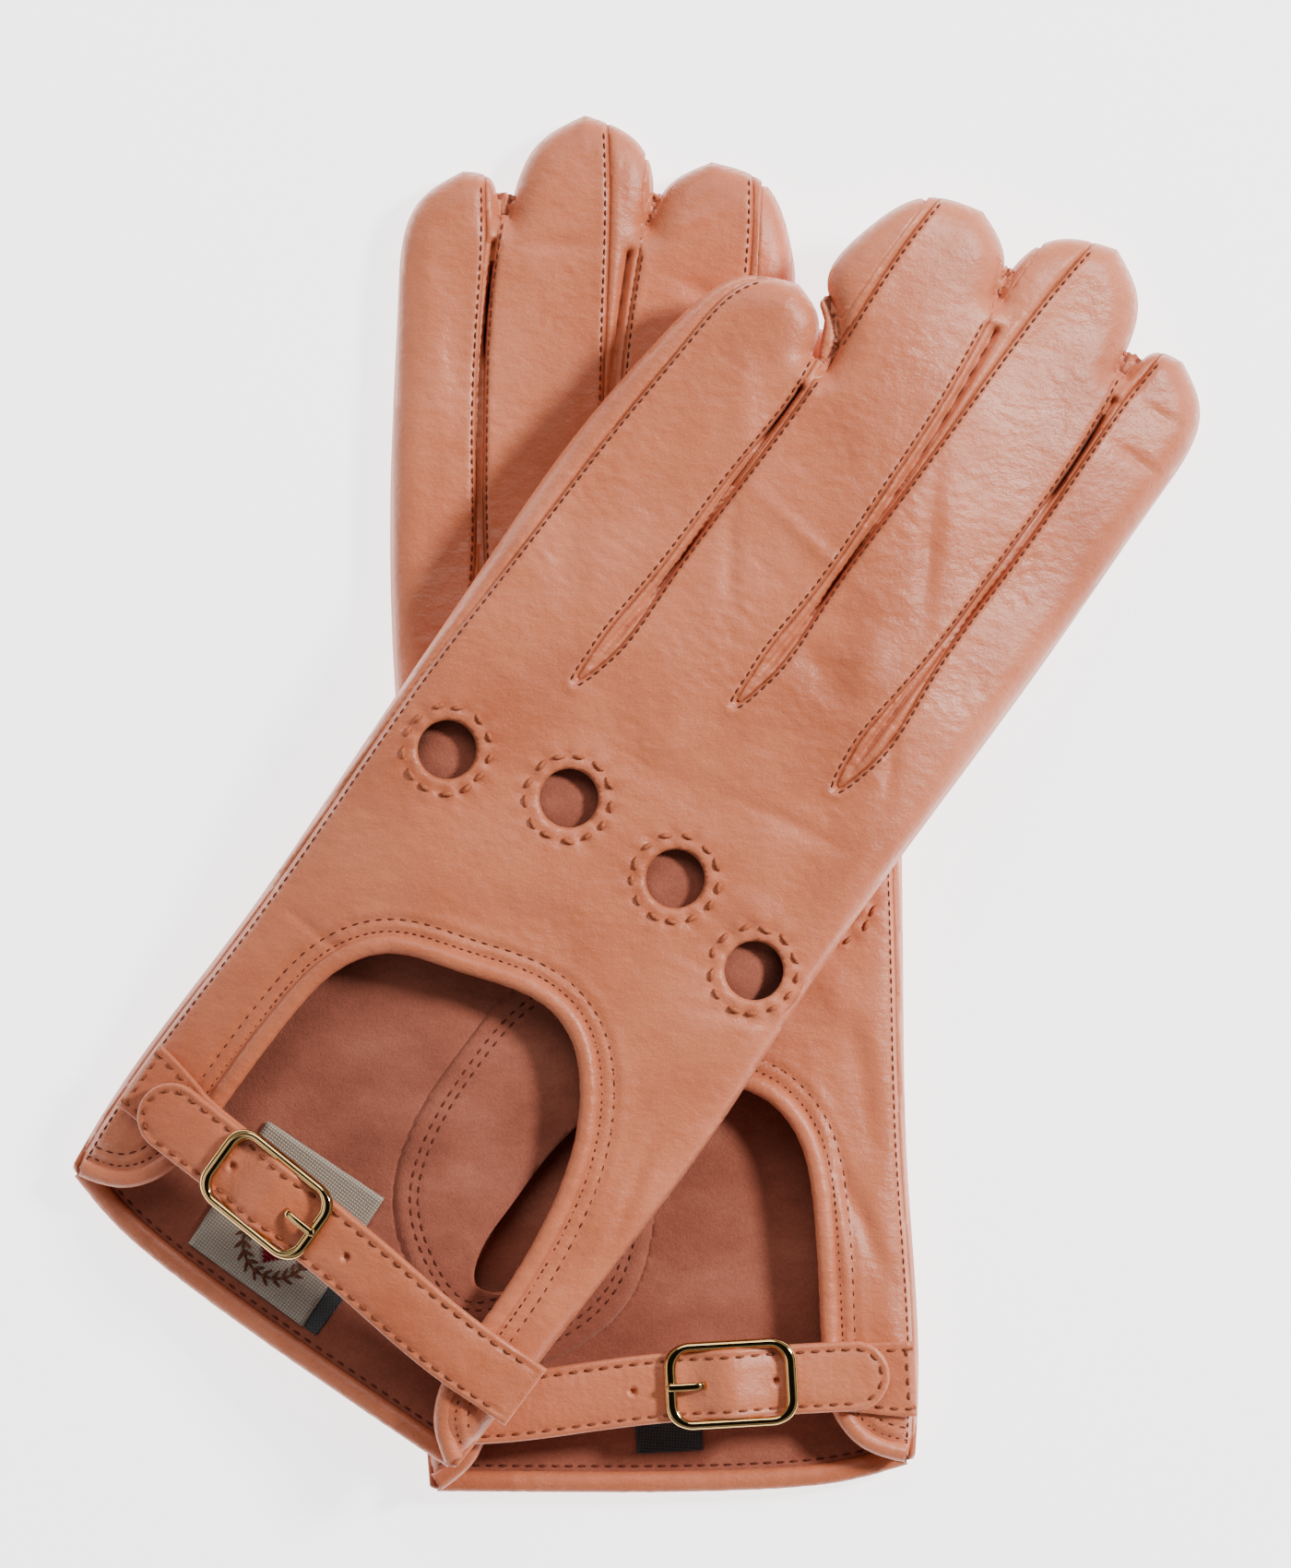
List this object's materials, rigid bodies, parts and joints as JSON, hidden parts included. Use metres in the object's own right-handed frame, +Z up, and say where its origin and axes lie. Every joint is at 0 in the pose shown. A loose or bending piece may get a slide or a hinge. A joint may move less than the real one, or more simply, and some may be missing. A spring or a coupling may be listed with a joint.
{
  "type": "driving gloves",
  "caption": "Pair of short leather driving gloves with knuckle vents, a half-moon back opening, forked finger walls and a buckled wrist strap; the left lies over the right.",
  "frame": {"origin": "centre of the bounding box in plan, on the surface the gloves lie on", "axes": "+Z up off the surface; +Y from the right glove's cuff to its fingertips, give or take its 3 degree turn; +X towards the left glove's fingertips"},
  "size_m": [0.1876, 0.2288, 0.0282],
  "materials": {
    "leather": "smooth blush-tan glove nappa, soft sheen, suede inside",
    "gold_metal": "polished pale gold plating",
    "pale_label": "woven satin label",
    "dark_label": "woven size label"
  },
  "bodies": {
    "right_glove": {"right_back_panel": "leather", "right_palm_panel": "leather", "right_thumb_keystone": "leather", "right_knuckle_facings": "leather", "right_opening_binding": "leather", "right_cuff_binding": "leather", "right_fourchette_ring_little": "leather", "right_fourchette_middle_ring": "leather", "right_fourchette_index_middle": "leather", "right_thumb": "leather", "right_strap_tab": "leather", "right_size_label": "dark_label"},
    "right_strap": {"right_strap": "leather"},
    "right_buckle": {"right_buckle_frame": "gold_metal"},
    "right_prong": {"right_buckle_prong": "gold_metal"},
    "left_glove": {"left_back_panel": "leather", "left_palm_panel": "leather", "left_thumb_keystone": "leather", "left_knuckle_facings": "leather", "left_opening_binding": "leather", "left_cuff_binding": "leather", "left_fourchette_ring_little": "leather", "left_fourchette_middle_ring": "leather", "left_fourchette_index_middle": "leather", "left_thumb": "leather", "left_strap_tab": "leather", "left_care_label": "pale_label", "left_lining_label": "pale_label"},
    "left_strap": {"left_strap": "leather"},
    "left_buckle": {"left_buckle_frame": "gold_metal"},
    "left_prong": {"left_buckle_prong": "gold_metal"}
  },
  "joints": [
    {"name": "left_glove_lift", "type": "slide", "parent": "right_glove", "child": "left_glove", "axis": [0, 0, 1], "range_m": [0, 0.1]},
    {"name": "right_strap_open", "type": "hinge", "parent": "right_glove", "child": "right_strap", "pos_m": [-0.03035, -0.09984, 0.0132], "axis": [0.0576, -0.9983, 0], "range_deg": [0, 60], "deforming": ["right_strap"]},
    {"name": "right_buckle_tilt", "type": "hinge", "parent": "right_glove", "child": "right_buckle", "pos_m": [0.01568, -0.09548, 0.01495], "axis": [-0.0576, 0.9983, 0], "range_deg": [0, 8]},
    {"name": "right_prong_lift", "type": "hinge", "parent": "right_buckle", "child": "right_prong", "pos_m": [0.01568, -0.09548, 0.01495], "axis": [-0.0576, 0.9983, 0], "range_deg": [0, 100]},
    {"name": "left_strap_open", "type": "hinge", "parent": "left_glove", "child": "left_strap", "pos_m": [-0.0233, -0.0931, 0.0267], "axis": [0.6, 0.8, 0], "range_deg": [0, 60], "deforming": ["left_strap"]},
    {"name": "left_buckle_tilt", "type": "hinge", "parent": "left_glove", "child": "left_buckle", "pos_m": [-0.05989, -0.06394, 0.02186], "axis": [-0.5778, -0.8, -0.1618], "range_deg": [0, 8]},
    {"name": "left_prong_lift", "type": "hinge", "parent": "left_buckle", "child": "left_prong", "pos_m": [-0.05989, -0.06394, 0.02186], "axis": [-0.5778, -0.8, -0.1618], "range_deg": [0, 100]}
  ]
}
